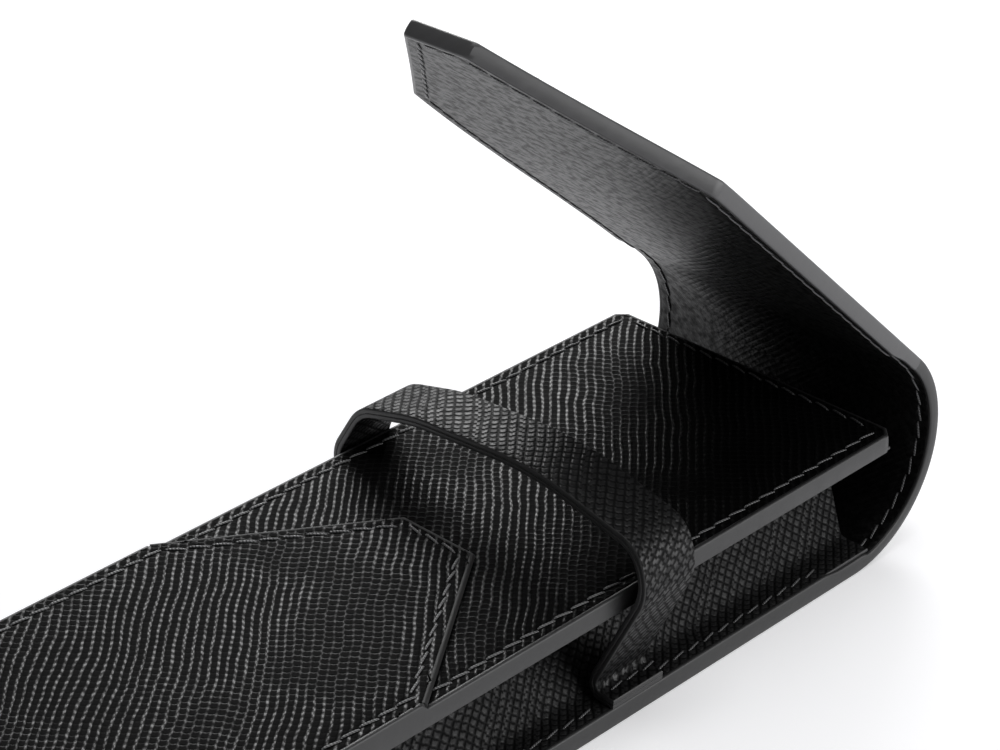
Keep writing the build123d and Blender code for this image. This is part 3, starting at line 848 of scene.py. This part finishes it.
class Seam:
    """Rows of stitches in one piece, laid out on the outer strip's flat map."""

    def __init__(self):
        self.bm = bmesh.new()
        self.turns = self.bm.loops.layers.uv.new("grain")
        self.hand = random.Random(7)

    def row(self, start, end, face, lift=0.0):
        """Stitches from start to end on one face. Side rows keep step from piece to piece."""
        start, end = Vector(start), Vector(end)
        run = end - start
        heading = run.normalized()
        if abs(run.x) < MM:
            first = PITCH / 2 - start.y % PITCH
            first += PITCH if first < 0 else 0
            count = int((run.length - first) / PITCH) + 1
        else:
            count = int(run.length / PITCH)
            first = (run.length - (count - 1) * PITCH) / 2
        for number in range(count):
            self.stitch(start + heading * (first + number * PITCH), heading, face, lift)

    def stitch(self, middle, heading, face, lift):
        surface, outward = face(middle.x, middle.y)
        slanted = Matrix.Rotation(math.radians(self.hand.uniform(7, 13)), 2) @ heading
        beside = Vector((-slanted.y, slanted.x))
        rings = []
        for share, girth, rise in STATIONS:
            ring = []
            for step in range(AROUND):
                turn = 2 * math.pi * step / AROUND
                spot = middle + slanted * share * STITCH + beside * THREAD * girth * math.cos(turn)
                height = THREAD * (0.75 * girth * math.sin(turn) + rise) + lift
                ring.append(self.bm.verts.new((spot.x, spot.y, surface + outward * height)))
            rings.append(ring)
        for station, (ring, following) in enumerate(zip(rings, rings[1:])):
            for step in range(AROUND):
                after = (step + 1) % AROUND
                face_here = self.bm.faces.new((ring[step], ring[after], following[after], following[step]))
                spans = ((station, step), (station, step + 1), (station + 1, step + 1), (station + 1, step))
                for loop, (ahead, around) in zip(face_here.loops, spans):
                    loop[self.turns].uv = (around / AROUND * MM, STATIONS[ahead][0] * STITCH)
        self.bm.faces.new(reversed(rings[0]))
        self.bm.faces.new(rings[-1])

    def finish(self, name, *nodes):
        for vert in self.bm.verts:
            vert.co = place_on_strip(vert.co)
        piece = finish_mesh(self.bm, name, [thread])
        if nodes:
            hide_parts(*nodes)
        return piece


# Each face gives the depth that a stitch lies at and the way that it stands up from there.
def outer_face(x, along):
    """The outside of the strip."""
    return 0, -1


def inner_face(x, along):
    """The facing or, along the back, the gusset's foot on it."""
    foot = GUSSET if along < 2 * MM else 0
    return SPINE_STACK + board_lift(along) + foot, 1


def strap_tab(x, along):
    """The strap's end, where it is sewn down."""
    return TAB_TOP, 1


def front_face(x, along):
    """The front panel, which lies under the overlay."""
    return LEATHER, -1


SEAM_X = HALF - SEAM
SUNK = -0.2 * MM


def side_rows(seam, low, high, face, lift=0.0):
    """The two seams along the sides."""
    for x in (SEAM_X, -SEAM_X):
        seam.row((x, low), (x, high), face, lift)


def tongue_rows(seam, tongue, tip_at, pointing, base, face, lift=0.0):
    """Up both sides, along both slants and across the tip."""
    (side_x, side_rise), (end_x, end_rise) = tongue_corners(tongue, SEAM, TIP_SEAM)
    shoulder = tip_at - pointing * tongue[0]
    turn, tip = shoulder + pointing * side_rise, shoulder + pointing * end_rise
    side_rows(seam, min(base, turn), max(base, turn), face, lift)
    for mirror in (1, -1):
        seam.row((mirror * side_x, turn), (mirror * end_x, tip), face, lift)
    seam.row((-end_x, tip), (end_x, tip), face, lift)


strap_at = STRAP_Y - BEND_START
beside_strap = STRAP_HALF + 0.9 * MM
seam = Seam()
side_rows(seam, AT_LOW_CORNER, strap_at - beside_strap, inner_face)
side_rows(seam, strap_at + beside_strap, 0, inner_face)
side_rows(seam, AT_LOW_CORNER, 0, outer_face, SUNK)
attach(seam.finish("back_thread", "back_stitching"), "case")
seam = Seam()
side_rows(seam, strap_at - STRAP_HALF + 0.3 * MM, strap_at + STRAP_HALF - 0.3 * MM, strap_tab)
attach(seam.finish("strap_end_thread", "strap_end_stitching"), "case")
for number in range(CREASES):
    low, high = spine_share(number)
    seam = Seam()
    side_rows(seam, low, high, inner_face)
    side_rows(seam, low, high, outer_face, SUNK)
    nodes = (["spine_stitching_lower"], ["spine_stitching_upper"], [])[number]
    blend_spine(seam.finish(f"spine_thread_{number + 1}", *nodes), number)
seam = Seam()
tongue_rows(seam, TONGUE_OF_FLAP, FLAP_END, 1, SPINE_LENGTH, inner_face)
tongue_rows(seam, TONGUE_OF_FLAP, FLAP_END, 1, SPINE_LENGTH, outer_face, SUNK)
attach(seam.finish("flap_thread", "flap_stitching"), "flap")
seam = Seam()
tongue_rows(seam, TONGUE_ON_FRONT, AT_TONGUE_TIP, -1, AT_TOP - MM, outer_face)
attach(seam.finish("overlay_thread", "overlay_stitching"), "front")
seam = Seam()
side_rows(seam, AT_MOUTH + MOUTH_SEAM, AT_SHOULDER - 3 * MM, front_face)
seam.row((MM - SEAM_X, AT_MOUTH + MOUTH_SEAM), (SEAM_X - MM, AT_MOUTH + MOUTH_SEAM), front_face)
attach(seam.finish("front_thread", "front_stitching"), "front")

# ---------------------------------------------------------------- boards and thin linings
# Bonded leather board stiffens the back and the front; thin plain leather lines the front and the
# bottom end. All are glued in, and the boards' edges are painted over.
lining_skin = plain_skin("lining_skin", 0.008, 0.6, 2500)
piece = strip_piece("back_board_fibre", AT_LOW_CORNER, -7 * MM, BOARD_AT, [], 5 * MM, leather=board_fibre)
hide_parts("back_board")
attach(piece, "case")
for node, skin, slot in (("front_board", board_fibre, "stiffening_board"),
                         ("front_lining", lining_skin, "facing_leather")):
    low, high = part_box(node)
    bm = cut_panel(mouth_outline(high.x - CUT, low.y, high.y - CUT))
    slice_rows(bm, low.y, high.y, 5 * MM, (0, 1, 0))
    thicken(bm, low.z, high.z, [(low.z, 0.12 * MM)])
    piece = finish_leather(bm, node + "_sheet", lambda flat: flat, [skin, skin])
    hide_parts(node)
    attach(piece, "front")
low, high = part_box("end_lining")
bm = cut_panel([(low.x, low.z), (high.x, low.z), (high.x, high.z), (low.x, high.z)])
slice_rows(bm, low.x, high.x, 5 * MM, (1, 0, 0))
thicken(bm, low.y, high.y, [(high.y, 0.12 * MM)])
piece = finish_leather(bm, "end_lining_sheet", lambda flat: Vector((flat.x, flat.z, flat.y)),
                       [lining_skin, lining_skin])
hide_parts("end_lining")
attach(piece, "case")

# ---------------------------------------------------------------- table, camera and light
# A pale seamless table with light thrown onto it, a long lens from the right and above, and
# three soft boxes: one overhead, one low behind the case and one low on its right.
bm = bmesh.new()
bmesh.ops.create_grid(bm, x_segments=4, y_segments=4, size=3.0)
floor_mesh = bpy.data.meshes.new("table_top")
bm.to_mesh(floor_mesh)
bm.free()
floor = bpy.data.objects.new("table_top", floor_mesh)
bpy.context.scene.collection.objects.link(floor)
table = Finish("pale_table", Roughness=0.9, Specular_IOR_Level=0.1, Emission_Strength=0.4,
               Emission_Color=(1, 1, 1, 1))
here = table.node("ShaderNodeTexCoord", {}, (), 3)
table.feed(Base_Color=table.mix(table.noise(here, 3.0), 0.79, 0.81))
floor_mesh.materials.append(table.material)

camera_data = bpy.data.cameras.new("camera")
camera_data.lens = 111.66
camera_data.sensor_width = 36
camera = bpy.data.objects.new("camera", camera_data)
camera.location = (0.23778, -0.21716, 0.23311)
camera.rotation_euler = (math.radians(90 - 29.48), 0, math.radians(44.03))
bpy.context.scene.collection.objects.link(camera)
bpy.context.scene.camera = camera


def softbox(name, where, aim, size, power):
    """A large diffused lamp, turned towards a point."""
    lamp = bpy.data.lights.new(name, "AREA")
    lamp.shape = "RECTANGLE"
    lamp.size, lamp.size_y = size
    lamp.energy = power
    holder = bpy.data.objects.new(name, lamp)
    holder.location = where
    holder.rotation_euler = (Vector(where) - Vector(aim)).to_track_quat("Z", "Y").to_euler()
    bpy.context.scene.collection.objects.link(holder)


softbox("back_softbox", (-0.8, 0.8, 0.55), (0, 0, 0.02), (0.8, 0.5), 9)
softbox("top_softbox", (-0.1, 0.1, 1.3), (0, 0, 0), (0.9, 0.9), 9)
softbox("right_softbox", (1.0, 0.45, 0.35), (0, 0, 0.02), (0.9, 0.7), 9)
world = bpy.data.worlds.new("studio")
bpy.context.scene.world = world
world.use_nodes = True
world.node_tree.nodes["Background"].inputs[0].default_value = (1, 1, 1, 1)
world.node_tree.nodes["Background"].inputs[1].default_value = 0.05
bpy.context.scene.view_settings.view_transform = "Standard"
